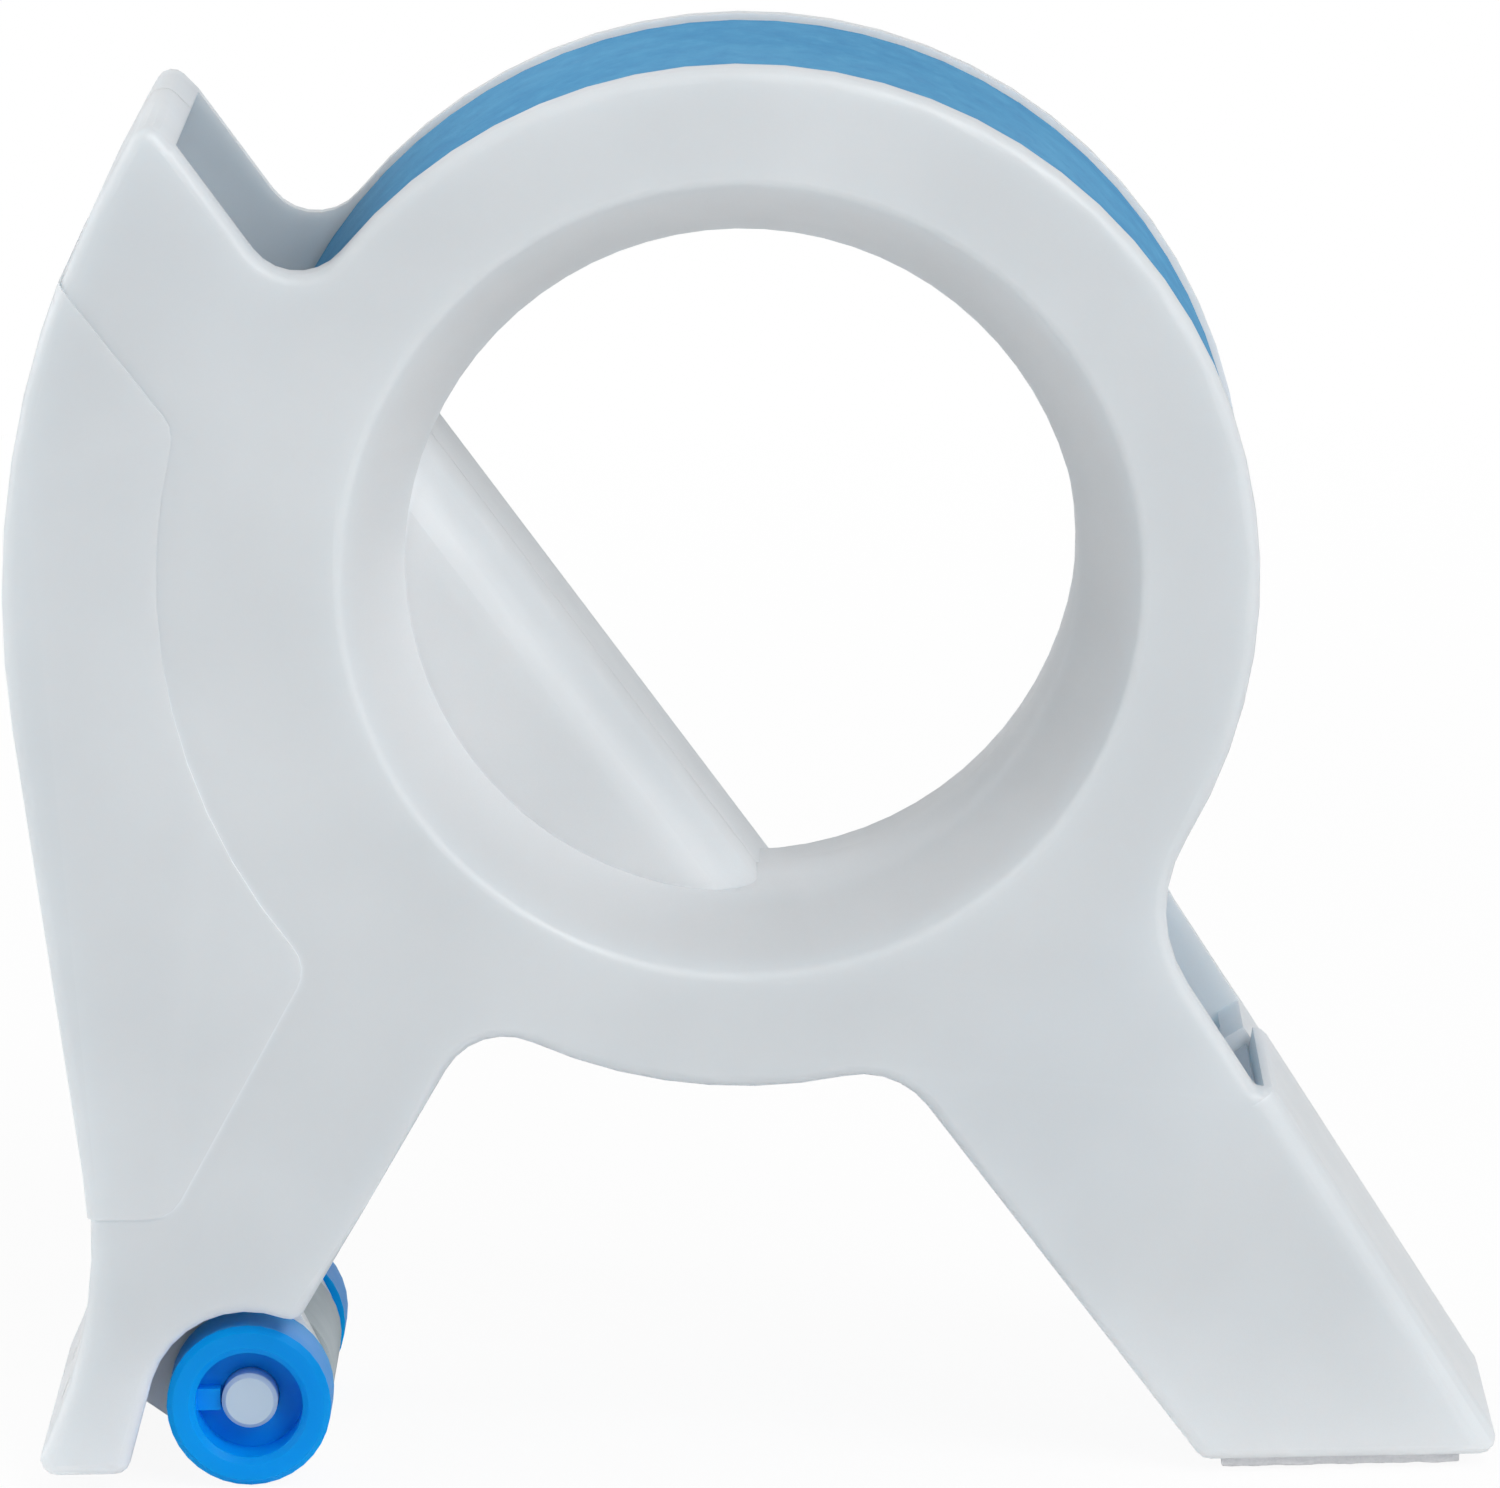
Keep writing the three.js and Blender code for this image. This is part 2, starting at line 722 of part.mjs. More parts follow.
// The cross rib inside the leading leg, seen through the opening above the step. It runs from the
// middle of the leg's inner edge to its outer wall.
function leadRib(heel, yLow, yHigh) {
  const inner = polar(ringRadius, leadLegInnerAngle).lerp(leadToe, 1 / 2);
  const wall = edgeAt({ at: heel }, { at: shoulder }, edgeWall / 2);
  const outer = atHeight(wall, step.y - ribDrop);
  const way = outer.clone().sub(inner).normalize();
  const start = inner.addScaledVector(way, edgeWall / 2);
  const side = leftOf(way).setLength(ribWall / 2);
  const points = [start.clone().sub(side), outer.clone().sub(side)];
  return slab([...points, outer.add(side), start.add(side)], yLow, yHigh);
}

// What the wide rounding takes off the near edge of the leading leg, between the heel and step.
function leadEdgeCut() {
  const way = step.clone().sub(leadHeel);
  const length = way.length() + leadEdgeRadius;
  const out = leftOf(way.normalize()).negate();
  const turn = arcSteps(leadEdgeRadius, Math.PI / 2);
  const middle = new THREE.Vector2(-leadEdgeRadius, nearFace + leadEdgeRadius);
  const points = [
    new THREE.Vector2(-leadEdgeRadius, nearFace - overrun),
    new THREE.Vector2(overrun, nearFace - overrun),
    new THREE.Vector2(overrun, nearFace + leadEdgeRadius),
  ];
  for (let i = 0; i <= turn; i += 1) {
    const angle = (-90 * i) / turn;
    points.push(polar(leadEdgeRadius, angle, middle.x, middle.y));
  }
  const geometry = new THREE.ExtrudeGeometry(new THREE.Shape(points), {
    depth: length,
    bevelEnabled: false,
  });
  geometry.applyMatrix4(
    new THREE.Matrix4()
      .makeBasis(
        new THREE.Vector3(out.x, 0, out.y),
        new THREE.Vector3(0, 1, 0),
        new THREE.Vector3(way.x, 0, way.y),
      )
      .setPosition(
        leadHeel.x - way.x * leadEdgeRadius,
        0,
        leadHeel.y - way.y * leadEdgeRadius,
      ),
  );
  return solid(geometry);
}

const armBack = edgeAt({ at: gripElbow }, { at: heelBend }, edgeWall + armWallGap);
const screwOrbit = collarRadius + screwHeadRadius + screwClearance;
const lowerScrew = polar(screwOrbit, screwAngle, rollerX, rollerZ);
const upperScrew = atHeight(armBack, lowerScrew.y + screwSpacing);
upperScrew.x += screwMargin;
const screwPlaces = { upper: upperScrew, lower: lowerScrew };

// The trailing wall of the foot, as a frame: U up the wall, V across it into the foot.
const footUp = heelBend.clone().sub(footBack).normalize();
const footIn = leftOf(footUp).negate();
const footBasis = new THREE.Matrix4()
  .makeBasis(
    new THREE.Vector3(footIn.x, 0, footIn.y),
    new THREE.Vector3(0, 1, 0),
    new THREE.Vector3(footUp.x, 0, footUp.y),
  )
  .setPosition(footBack.x, 0, footBack.y);
const clampMiddle = clampLift + clampHeight / 2;

function footBox(vLow, vHigh, yLow, yHigh, uLow, uHigh) {
  const geometry = new THREE.BoxGeometry(vHigh - vLow, yHigh - yLow, uHigh - uLow);
  geometry.translate((vLow + vHigh) / 2, (yLow + yHigh) / 2, (uLow + uHigh) / 2);
  geometry.applyMatrix4(footBasis);
  return solid(geometry);
}

// A round body across the foot's wall, from profile points of [radius, v].
function footPeg(profile, y) {
  const points = profile.map(([radius, v]) => new THREE.Vector2(radius, v));
  const geometry = new THREE.LatheGeometry(points, smallSegments / 2);
  geometry.rotateZ(-Math.PI / 2);
  geometry.translate(0, y, clampMiddle);
  geometry.applyMatrix4(footBasis);
  return solid(geometry);
}

const bladeStart = edgeWall + seatGap;
const clampStart = bladeStart + bladeThickness + seatGap;
const clampEnd = clampStart + clampThickness;
const cutterStack = clampEnd + seatGap + rivetHeadHeight;
const rivetMiddleY = (-halfCavity + partingY) / 2;
const clampWidth = halfCavity + partingY - 2 * clampEndGap;
const rivetSpacing = clampWidth * rivetSpacingShare;
const rivetPlaces = {
  front: rivetMiddleY - rivetSpacing / 2,
  rear: rivetMiddleY + rivetSpacing / 2,
};

function rivetHole(y) {
  const radius = rivetRadius + rivetGap;
  return footPeg(
    [[0, -overrun], [radius, -overrun], [radius, clampEnd + overrun], [0, clampEnd + overrun]],
    y,
  );
}

function frontShell() {
  const radii = [hubNeckRadius, hubThroatRadius];
  const hub = turned(hubProfile(-1, ...radii, hubSeamY), turnSegments);
  const space = hubSpace(-1, ...radii, hubSeamY);
  const opening = disc(hubFaceRadius + edgeRadius, nearFace - overrun, farFace, turnSegments);
  const moon = halfMoon().intersect(between(nearFace, hubSeamY));
  const bosses = pinPlaces().map(({ x, y }) =>
    disc(bossRadius, -halfCavity - seatGap, partingY, smallSegments, x, y),
  );
  const sockets = pinPlaces().map(({ x, y }) =>
    disc(
      pinRadius + pinClearance,
      partingY - pinReach - pinClearance,
      partingY + overrun,
      smallSegments,
      x,
      y,
    ),
  );
  const screwBosses = Object.values(screwPlaces).map(({ x, y }) =>
    disc(screwHeadRadius, -halfCavity - seatGap, -armOuter, smallSegments, x, y),
  );
  const screwSockets = Object.values(screwPlaces).map(({ x, y }) =>
    disc(screwRadius + screwGap, -halfCavity, -armOuter + overrun, smallSegments, x, y),
  );
  const body = join(
    cut(sidePlate(frontPath, -1), opening),
    edgeWalls(frontPath, -halfCavity - seatGap, partingY),
    leadRib(leadHeel, -halfCavity - seatGap, partingY),
    hub,
    moon,
    ...hubFins(-halfCavity - seatGap, hubSeamY).map((fin) => fin.subtract(space)),
    ...bosses,
    ...screwBosses,
    ...springSeats(),
  );
  const rivetHoles = Object.values(rivetPlaces).map(rivetHole);
  return cut(
    body,
    dragWindow(),
    leadEdgeCut(),
    ...sockets,
    ...screwSockets,
    ...rivetHoles,
  );
}

function rearShell() {
  const start = partingY + seamGap;
  const hubStart = hubSeamY + seamGap;
  const radii = [hubRearNeckRadius, hubRearRadius];
  const hub = turned(hubProfile(1, ...radii, hubStart), turnSegments);
  const space = hubSpace(1, ...radii, hubStart);
  const opening = disc(hubFaceRadius + edgeRadius, nearFace, farFace + overrun, turnSegments);
  const moon = halfMoon().intersect(between(hubStart, farFace));
  const posts = pinPlaces().map(({ x, y }) =>
    turned(
      [
        [0, partingY - pinReach],
        [pinRadius, partingY - pinReach],
        [pinRadius, start],
        [bossRadius, start],
        [bossRadius, halfCavity + seatGap],
        [0, halfCavity + seatGap],
      ],
      smallSegments,
      x,
      y,
    ),
  );
  return join(
    cut(sidePlate(rearPath, 1), opening),
    edgeWalls(rearPath, start, halfCavity + seatGap),
    leadRib(rearHeel, start, halfCavity + seatGap),
    hub,
    moon,
    ...hubFins(hubStart, halfCavity + seatGap).map((fin) => fin.subtract(space)),
    ...posts,
  );
}

// Roll drag

const crownRadius = coreSeatRadius - dragPadThickness;
const springFloor = webChordOffset + webWall + springSeatHeight;
const springMiddleY = hubSeamY - springWidth / 2 - springSideGap;

// The leaf lies along the web's chord wall at both ends and bows out to the pad.
function springPoints(offset) {
  const foot = springFloor + seatGap + springThickness;
  const crown = crownRadius - seatGap;
  const half = springSpan / 2;
  const flat = half - springEndFlat;
  const shape = new THREE.CubicBezierCurve(
    new THREE.Vector2(-foot, -flat),
    new THREE.Vector2(-(foot + crown) / 2, -flat / 2),
    new THREE.Vector2(-crown, -flat),
    new THREE.Vector2(-crown, 0),
  );
  const rise = shape.getPoints(curveSteps).map((point, i) => {
    const way = shape.getTangent(i / curveSteps);
    return point.addScaledVector(leftOf(way), -offset);
  });
  const fall = rise
    .slice(0, curveSteps)
    .reverse()
    .map((point) => new THREE.Vector2(point.x, -point.y));
  const ends = [-half, half].map((along) => new THREE.Vector2(-foot + offset, along));
  return [ends[0], ...rise, ...fall, ends[1]];
}

function leafPoints() {
  return [...springPoints(0), ...springPoints(springThickness).reverse()];
}

// A shape in the plane across Y, given in the web's frame.
function inWebPlane(points, yMiddle, width) {
  const world = points.map(
    ({ x, y }) => new THREE.Vector2(x * webOut.x - y * webOut.y, x * webOut.y + y * webOut.x),
  );
  const ordered = THREE.ShapeUtils.isClockWise(world) ? world.reverse() : world;
  return slab(ordered, yMiddle - width / 2, yMiddle + width / 2);
}

// The seats on the web that take the ends of the leaf, each with a stop beyond it.
function springSeats() {
  const near = nearFace + webRecess + webWall - seatGap;
  const half = springSpan / 2 + seatGap;
  return [-1, 1].map((side) => {
    const start = side * (half - springEndFlat);
    const stop = side * half;
    const end = side * (half + springPocketWall);
    const inner = -webChordOffset - webWall + seatGap;
    const outer = -springFloor - springPocketHeight;
    const points = [
      new THREE.Vector2(inner, start),
      new THREE.Vector2(inner, end),
      new THREE.Vector2(outer, end),
      new THREE.Vector2(outer, stop),
      new THREE.Vector2(-springFloor, stop),
      new THREE.Vector2(-springFloor, start),
    ];
    return inWebPlane(points, (near + hubSeamY) / 2, hubSeamY - near);
  });
}

function dragPad() {
  const half = dragPadWidth / 2;
  const outer = coreSeatRadius;
  const inner = crownRadius;
  const arc = [];
  for (let i = 0; i <= curveSteps; i += 1) {
    const along = -half + (dragPadWidth * i) / curveSteps;
    arc.push(new THREE.Vector2(-Math.sqrt(outer * outer - along * along), along));
  }
  const points = [new THREE.Vector2(-inner, half), new THREE.Vector2(-inner, -half)];
  return inWebPlane([...points, ...arc], springMiddleY, springWidth);
}

// Laying roller

function atRoller(profile, segments = smallSegments) {
  return turned(profile, segments, rollerX, rollerZ);
}

function axle() {
  const end = collarEnd - axleInset;
  const tip = axleRadius - axleRounding;
  return atRoller([
    [0, -end],
    [tip, -end],
    [axleRadius, -end + axleRounding],
    [axleRadius, end - axleRounding],
    [tip, end],
    [0, end],
  ]);
}

// The near collar; the far one is its mirror image.
function collar(outward) {
  const bore = axleRadius + pressGap;
  const floor = collarEnd - collarBoreDepth;
  const loop = [
    [bore, collarRoot],
    [collarRadius, collarRoot],
    [collarRadius, collarEnd - collarRounding],
    [collarRadius - collarRounding, collarEnd],
    [collarBoreRadius + collarRounding, collarEnd],
    [collarBoreRadius, collarEnd - collarRounding],
    [collarBoreRadius, floor],
    [bore, floor],
  ].map(([radius, y]) => [radius, outward * y]);
  const body = atRoller(outward > 0 ? loop : loop.reverse());
  const top = collarEnd - keyInset;
  const length = collarBoreRadius - bore + pressGap;
  const key = new THREE.BoxGeometry(length, top - floor + seatGap, keyWidth);
  key.translate(
    rollerX - bore - length / 2 - seatGap,
    (outward * (top + floor - seatGap)) / 2,
    rollerZ,
  );
  return join(body, solid(key));
}

function bush(outward) {
  const loop = [
    [bushBore, armInner],
    [bushRadius, armInner],
    [bushRadius, armOuter + seatGap],
    [bushFlangeRadius, armOuter + seatGap],
    [bushFlangeRadius, armOuter + seatGap + bushFlange],
    [bushBore, armOuter + seatGap + bushFlange],
  ].map(([radius, y]) => [radius, outward * y]);
  return atRoller(outward > 0 ? loop : loop.reverse());
}

function tangentFrom(point, centre, radius, side) {
  const away = point.clone().sub(centre);
  const swing = Math.acos(radius / away.length());
  return centre
    .clone()
    .addScaledVector(away.rotateAround(axis, -side * swing).normalize(), radius);
}

// Both arms and the bridge between them, which passes behind the tape above the roller.
function bracket() {
  const heelEdge = edgeAt({ at: heelBend }, { at: footBack }, cutterStack + armHeelGap);
  const back = atHeight(armBack, upperScrew.y + armTopMargin);
  const heel = atHeight(heelEdge, rollerZ - armHeelDrop);
  const top = new THREE.Vector2(back.x + armTopWidth, back.y);
  const armPath = offsetPoints(
    roundedPath([
      { name: "", at: back, rounding: cornerRadius },
      { name: "", at: heel, rounding: cornerRadius },
      {
        name: "",
        at: tangentFrom(heel, rollerAxis, armEndRadius, -1),
        rounding: 0,
        round: { centre: rollerAxis, radius: armEndRadius, outward: true },
      },
      { name: "", at: tangentFrom(top, rollerAxis, armEndRadius, 1), rounding: 0 },
      { name: "", at: top, rounding: cornerRadius },
    ]),
    0,
  );
  const arms = [slab(armPath, -armOuter, -armInner), slab(armPath, armInner, armOuter)];
  const bridge = new THREE.BoxGeometry(bridgeLength, 2 * armInner + seatGap, bridgeThickness);
  const bridgeRise = archRadius + bridgeLift + bridgeThickness / 2;
  bridge.translate(rollerX - bridgeBack, 0, rollerZ + bridgeRise);
  const hole = disc(bushRadius + pressGap, -halfDepth, halfDepth, smallSegments, rollerX, rollerZ);
  const screwHoles = Object.values(screwPlaces).map(({ x, y }) =>
    disc(screwRadius + screwGap, -halfDepth, 0, smallSegments, x, y),
  );
  const access = Object.values(screwPlaces).map(({ x, y }) =>
    disc(screwHeadRadius + screwGap, 0, halfDepth, smallSegments, x, y),
  );
  return cut(join(...arms, solid(bridge)), hole, ...screwHoles, ...access);
}

function screw({ x, y }) {
  const seat = -armInner + seatGap;
  const head = seat + screwHeadHeight;
  const end = -halfCavity + seatGap + screwGap;
  const body = turned(
    [
      [0, end],
      [screwRadius, end],
      [screwRadius, seat],
      [screwHeadRadius, seat],
      [screwHeadRadius, head],
      [0, head],
    ],
    smallSegments,
    x,
    y,
  );
  const slots = [0, Math.PI / 2].map((turn) => {
    const slot = new THREE.BoxGeometry(
      2 * screwRadius + screwSlotWidth,
      screwHeadHeight,
      screwSlotWidth,
    );
    slot.rotateY(turn);
    slot.translate(x, head, y);
    return solid(slot);
  });
  return cut(body, ...slots);
}

// Cutter

function blade() {
  const count = Math.floor((tapeWidth - 2 * bladeInset) / toothPitch);
  const half = (count * toothPitch) / 2;
  const points = [new THREE.Vector2(half, bladeHeight), new THREE.Vector2(-half, bladeHeight)];
  for (let i = 0; i < count; i += 1) {
    const start = -half + i * toothPitch;
    points.push(new THREE.Vector2(start, bladeLift + toothDepth));
    points.push(new THREE.Vector2(start + toothPitch / 2, bladeLift));
  }
  points.push(new THREE.Vector2(half, bladeLift + toothDepth));
  const geometry = new THREE.ExtrudeGeometry(new THREE.Shape(points), {
    depth: bladeThickness,
    bevelEnabled: false,
  });
  geometry.rotateX(Math.PI / 2);
  geometry.rotateZ(Math.PI / 2);
  geometry.translate(bladeStart, 0, 0);
  geometry.applyMatrix4(footBasis);
  return cut(solid(geometry), ...Object.values(rivetPlaces).map(rivetHole));
}

function bladeClamp() {
  const bar = footBox(
    clampStart,
    clampEnd,
    rivetMiddleY - clampWidth / 2,
    rivetMiddleY + clampWidth / 2,
    clampLift,
    clampLift + clampHeight,
  );
  return cut(bar, ...Object.values(rivetPlaces).map(rivetHole));
}

function rivet(y) {
  const head = clampEnd + seatGap;
  return footPeg(
    [
      [0, seatGap],
      [rivetRadius, seatGap],
      [rivetRadius, head],
      [rivetHeadRadius, head],
      [rivetHeadRadius, head + rivetHeadHeight],
      [0, head + rivetHeadHeight],
    ],
    y,
  );
}

// Felt pads

function feltPad(yLow, yHigh) {
  const left = leadToe.x + padInset;
  const right = leadHeel.x - padHeelInset;
  const geometry = new THREE.BoxGeometry(right - left, yHigh - yLow, padThickness);
  geometry.translate((left + right) / 2, (yLow + yHigh) / 2, leadSoleZ - padThickness / 2);
  return solid(geometry);
}

// Materials

const moulded = new THREE.MeshStandardMaterial({ color: 0xd1d6da, roughness: 0.45 });
const bluePlastic = new THREE.MeshStandardMaterial({ color: 0x1287e0, roughness: 0.35 });
const whitePlastic = new THREE.MeshStandardMaterial({ color: 0xcfdde6, roughness: 0.4 });
const greyRubber = new THREE.MeshStandardMaterial({ color: 0xb6bec0, roughness: 0.7 });
const blueTape = new THREE.MeshStandardMaterial({ color: 0x5fa0cc, roughness: 0.85 });
const card = new THREE.MeshStandardMaterial({ color: 0xcfc8bb, roughness: 0.9 });
const felt = new THREE.MeshStandardMaterial({ color: 0xd0d1d4, roughness: 1 });
const acetal = new THREE.MeshStandardMaterial({ color: 0xe8e6e0, roughness: 0.4 });
const steel = new THREE.MeshStandardMaterial({ color: 0xb8bcc0, roughness: 0.3, metalness: 1 });

function piece(name, body, material) {
  const mesh = new THREE.Mesh(geometryOf(body), material);
  mesh.name = name;
  return mesh;
}

// Assembly

const halfTape = tapeWidth / 2;
const applicator = new THREE.Group();
applicator.add(
  piece("front_shell", frontShell(), moulded),
  piece("rear_shell", rearShell(), moulded),
  piece(
    "tape_core",
    ringBody(coreBoreRadius, coreRadius, -halfTape, halfTape, turnSegments),
    card,
  ),
  piece(
    "tape_roll",
    ringBody(coreRadius + wrapGap, rollRadius, -halfTape, halfTape, turnSegments),
    blueTape,
  ),
  piece("roller_axle", axle(), whitePlastic),
  piece("front_collar", collar(-1), bluePlastic),
  piece("rear_collar", collar(1), bluePlastic),
  piece(
    "roller_core",
    ringBody(
      axleRadius + pressGap,
      sleeveRadius - sleeveWall - pressGap,
      -sleeveEnd,
      sleeveEnd,
      smallSegments,
      rollerX,
      rollerZ,
    ),
    acetal,
  ),
  piece(
    "roller_sleeve",
    ringBody(
      sleeveRadius - sleeveWall,
      sleeveRadius,
      -sleeveEnd,
      sleeveEnd,
      smallSegments,
      rollerX,
      rollerZ,
    ),
    greyRubber,
  ),
  piece("front_axle_bush", bush(-1), acetal),
  piece("rear_axle_bush", bush(1), acetal),
  piece("roller_bracket", bracket(), moulded),
  piece("upper_bracket_screw", screw(screwPlaces.upper), steel),
  piece("lower_bracket_screw", screw(screwPlaces.lower), steel),
  piece("cutter_blade", blade(), steel),
  piece("blade_clamp", bladeClamp(), moulded),
  piece("front_blade_rivet", rivet(rivetPlaces.front), steel),
  piece("rear_blade_rivet", rivet(rivetPlaces.rear), steel),
  piece("front_felt_pad", feltPad(nearFace + padInset, partingY - seamGap), felt),
  piece("rear_felt_pad", feltPad(partingY + 2 * seamGap, farFace - padInset), felt),
  piece("drag_spring", inWebPlane(leafPoints(), springMiddleY, springWidth), steel),
  piece("drag_pad", dragPad(), felt),
);

// The origin is under the middle of the body, on the surface that the roller and pads rest on.
const bounds = new THREE.Box3().setFromObject(applicator);
applicator.position.set(-(bounds.min.x + bounds.max.x) / 2, 0, hubHeight);

export default applicator;
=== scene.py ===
import math

import bmesh
import bpy
from mathutils import Matrix, Vector, noise


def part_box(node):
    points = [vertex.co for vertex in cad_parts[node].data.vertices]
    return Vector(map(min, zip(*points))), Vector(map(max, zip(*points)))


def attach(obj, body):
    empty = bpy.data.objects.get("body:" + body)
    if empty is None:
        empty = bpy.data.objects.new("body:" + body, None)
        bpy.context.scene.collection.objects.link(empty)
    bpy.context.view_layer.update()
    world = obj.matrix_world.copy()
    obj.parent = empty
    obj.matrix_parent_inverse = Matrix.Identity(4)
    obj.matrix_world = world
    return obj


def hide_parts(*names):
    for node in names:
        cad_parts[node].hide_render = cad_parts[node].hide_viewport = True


# Camera, in the row frame: metres, degrees and the photograph's pixels
AIM = Vector((-0.00005, 0.0, 0.06783))
DISTANCE = 0.99
LOOK_DOWN = 11.4
TURN = -0.5
ROLL = -1.25
FOCAL_PX = 10246.0
PHOTO_WIDTH = 1500
SENSOR_MM = 36.0
CLIP_START = 0.01

# Square lamps that face the object: where each stands, and its power
LAMP_SIZE = 0.9
LAMPS = {
    "key": ((0.75, -0.95, 1.05), 14.0),
    "low_key": ((0.75, -0.95, 0.35), 1.7),
    "fill": ((-1.0, -0.8, 0.25), 2.5),
    "side": ((-1.3, 0.1, 0.5), 8.5),
}

# The tent gives no light from where a direction reaches less than TENT_DARK along TENT_UP
TENT_UP = (0, 0.5, 1)
TENT_DARK = 0.1
TENT_FULL = 0.6
TENT_LEVEL = 0.51

# The colour of the tent and of the floor's own glow
WHITE = (1, 1, 1, 1)

# To the camera the floor is partly white out to FLOOR_NEAR, and all white past FLOOR_FAR
FLOOR_REACH = 4.0
FLOOR_LEVEL = -0.0002
FLOOR_WHITE = 0.93
FLOOR_NEAR = 0.15
FLOOR_FAR = 0.6

# The axis of the roll, as (x, z), and the radius of the wound tape
ROLL_AXIS = (-0.0003, 0.0876)
ROLL_RADIUS = 0.0483

# How much brighter the plastic's edges are painted, as a painted highlight, and how far light
# travels inside it
EDGE_HIGHLIGHT = 1.12
GLOW_RADIUS = (0.8, 0.95, 1.0)
GLOW_SCALE = 0.005

# How far round a point counts as its hollow, and the open shares with full painted light in
# hollows and with none
HOLLOW_REACH = 0.02
HOLLOW_SHUT = 0.3
HOLLOW_OPEN = 0.97

# The tip of the grip lies up and back from the hub; there the painted light in hollows fades out,
# so its hollow stays in shade
TIP_WAY = (-1, 0, 0.4)
TIP_START = 0.081
TIP_END = 0.089

# How far the pattern of the tape's layers shifts in one radian
LAYER_SHIFT = 0.0016

# How far along the card's tube its seam climbs in one turn
CARD_PITCH = 0.03

# How far the seam reaches to each side, as a share of that climb
SEAM_REACH = 0.02

# How much darker the steel's smears are, of 255
STEEL_SMEAR = 14

# The felt's rounded edges and the step of its mesh
FELT_ROUNDING = 0.0003
FELT_STEP = 0.0006

# The share of the rounding that loose fibres take, and how fine they are uneven, per metre
FELT_LOOSE = 0.55
FELT_BROAD = 900
FELT_FINE = 2600

# Facets that meet at less than this angle are smoothed, once points this close are made one
SMOOTH_ANGLE = 38
WELD_DISTANCE = 2e-6

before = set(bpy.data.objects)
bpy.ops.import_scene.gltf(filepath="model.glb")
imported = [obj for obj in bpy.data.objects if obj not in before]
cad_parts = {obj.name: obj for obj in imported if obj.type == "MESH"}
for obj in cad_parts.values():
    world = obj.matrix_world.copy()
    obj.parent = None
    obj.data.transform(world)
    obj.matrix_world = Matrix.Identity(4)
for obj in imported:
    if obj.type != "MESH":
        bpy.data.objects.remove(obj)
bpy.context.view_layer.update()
scene = bpy.context.scene
scene.view_settings.view_transform = "Standard"


def linear(r, g, b):
    """A colour read off a picture, 0 to 255, as the linear one that a shader takes."""

    def one(v):
        v /= 255
        return v / 12.92 if v <= 0.04045 else ((v + 0.055) / 1.055) ** 2.4

    return (one(r), one(g), one(b), 1.0)


def aim_camera():
    down, aside, roll = (math.radians(v) for v in (LOOK_DOWN, TURN, ROLL))
    level_part = math.cos(down)
    forward = Vector((math.sin(aside) * level_part, math.cos(aside) * level_part, -math.sin(down)))
    level = Vector((math.cos(aside), -math.sin(aside), 0))
    upright = level.cross(forward)
    right = math.cos(roll) * level + math.sin(roll) * upright
    up = -math.sin(roll) * level + math.cos(roll) * upright
    data = bpy.data.cameras.new("camera")
    data.sensor_fit = "HORIZONTAL"
    data.sensor_width = SENSOR_MM
    data.lens = FOCAL_PX * SENSOR_MM / PHOTO_WIDTH
    data.clip_start = CLIP_START
    camera = bpy.data.objects.new("camera", data)
    turn = Matrix((right, up, -forward)).transposed().to_4x4()
    camera.matrix_world = Matrix.Translation(AIM - forward * DISTANCE) @ turn
    scene.collection.objects.link(camera)
    scene.camera = camera


class Nodes:
    """Short calls for wiring one node tree. A value is a constant or another node's output."""

    def __init__(self, tree):
        self.tree = tree

    def add(self, kind, **settings):
        node = self.tree.nodes.new(kind)
        for key, value in settings.items():
            setattr(node, key, value)
        return node

    def feed(self, socket, value):
        if isinstance(value, bpy.types.NodeSocket):
            self.tree.links.new(value, socket)
        else:
            socket.default_value = value

    def math(self, operation, *values):
        node = self.add("ShaderNodeMath", operation=operation)
        for socket, value in zip(node.inputs, values):
            self.feed(socket, value)
        return node.outputs[0]

    def reach(self, vector, way):
        """How far a vector reaches one way."""
        node = self.add("ShaderNodeVectorMath", operation="DOT_PRODUCT")
        self.feed(node.inputs[0], vector)
        self.feed(node.inputs[1], way)
        return node.outputs["Value"]

    def noise(self, where, scale, detail=3.0, roughness=0.5, stretch=(1, 1, 1)):
        mapping = self.add("ShaderNodeMapping")
        self.feed(mapping.inputs["Scale"], stretch)
        self.feed(mapping.inputs["Vector"], where)
        texture = self.add("ShaderNodeTexNoise")
        self.feed(texture.inputs["Scale"], scale)
        self.feed(texture.inputs["Detail"], detail)
        self.feed(texture.inputs["Roughness"], roughness)
        self.feed(texture.inputs["Vector"], mapping.outputs[0])
        return texture.outputs["Fac"]

    def spread(self, value, low, high, to_low=0, to_high=1):
        """What runs from low to high is spread to run from to_low to to_high."""
        node = self.add("ShaderNodeMapRange")
        self.feed(node.inputs["From Min"], low)
        self.feed(node.inputs["From Max"], high)
        self.feed(node.inputs["To Min"], to_low)
        self.feed(node.inputs["To Max"], to_high)
        self.feed(node.inputs["Value"], value)
        return node.outputs[0]

    def vary(self, texture, to_low=0, to_high=1, span=0.2):
        """A noise, most of which lies within span of a half, spread between two values."""
        return self.spread(texture, 0.5 - span, 0.5 + span, to_low, to_high)

    def mix(self, value, first, second, kind="RGBA"):
        node = self.add("ShaderNodeMix", data_type=kind)
        self.feed(node.inputs["A"], first)
        self.feed(node.inputs["B"], second)
        self.feed(node.inputs["Factor"], value)
        return node.outputs["Result"]

    def bump(self, height, strength, distance, before=None):
        node = self.add("ShaderNodeBump")
        self.feed(node.inputs["Strength"], strength)
        self.feed(node.inputs["Distance"], distance)
        self.feed(node.inputs["Height"], height)
        if before is not None:
            self.feed(node.inputs["Normal"], before)
        return node.outputs[0]

    def place(self):
        return self.add("ShaderNodeTexCoord").outputs["Object"]


